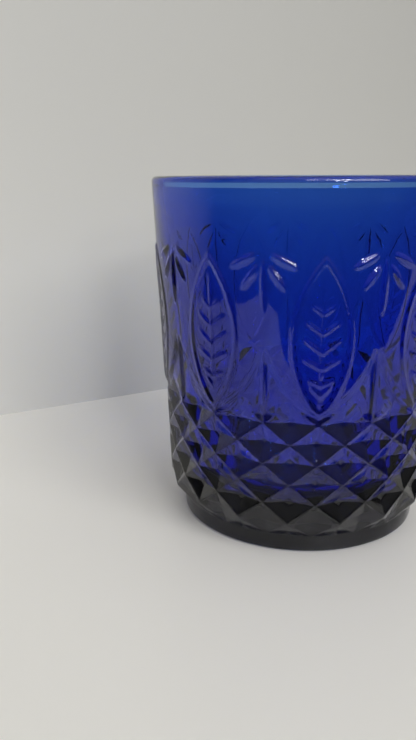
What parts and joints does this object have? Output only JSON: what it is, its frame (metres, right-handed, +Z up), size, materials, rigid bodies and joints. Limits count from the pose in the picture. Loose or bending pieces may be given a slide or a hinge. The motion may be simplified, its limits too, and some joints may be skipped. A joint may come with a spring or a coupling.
{
  "type": "glass tumbler",
  "caption": "Tapered cobalt-blue pressed-glass tumbler with a band of diamond facets, leaf medallions and fans below a plain rim; an open drinking glass that stands on a foot ring.",
  "frame": {"origin": "centre of the foot ring's underside, on the surface the glass stands on", "axes": "+Z up along the glass's axis, a medallion facing -Y"},
  "size_m": [0.0854, 0.0854, 0.0965],
  "materials": {
    "glass": "polished"
  },
  "bodies": {
    "root": {"tumbler": "glass"}
  },
  "joints": []
}
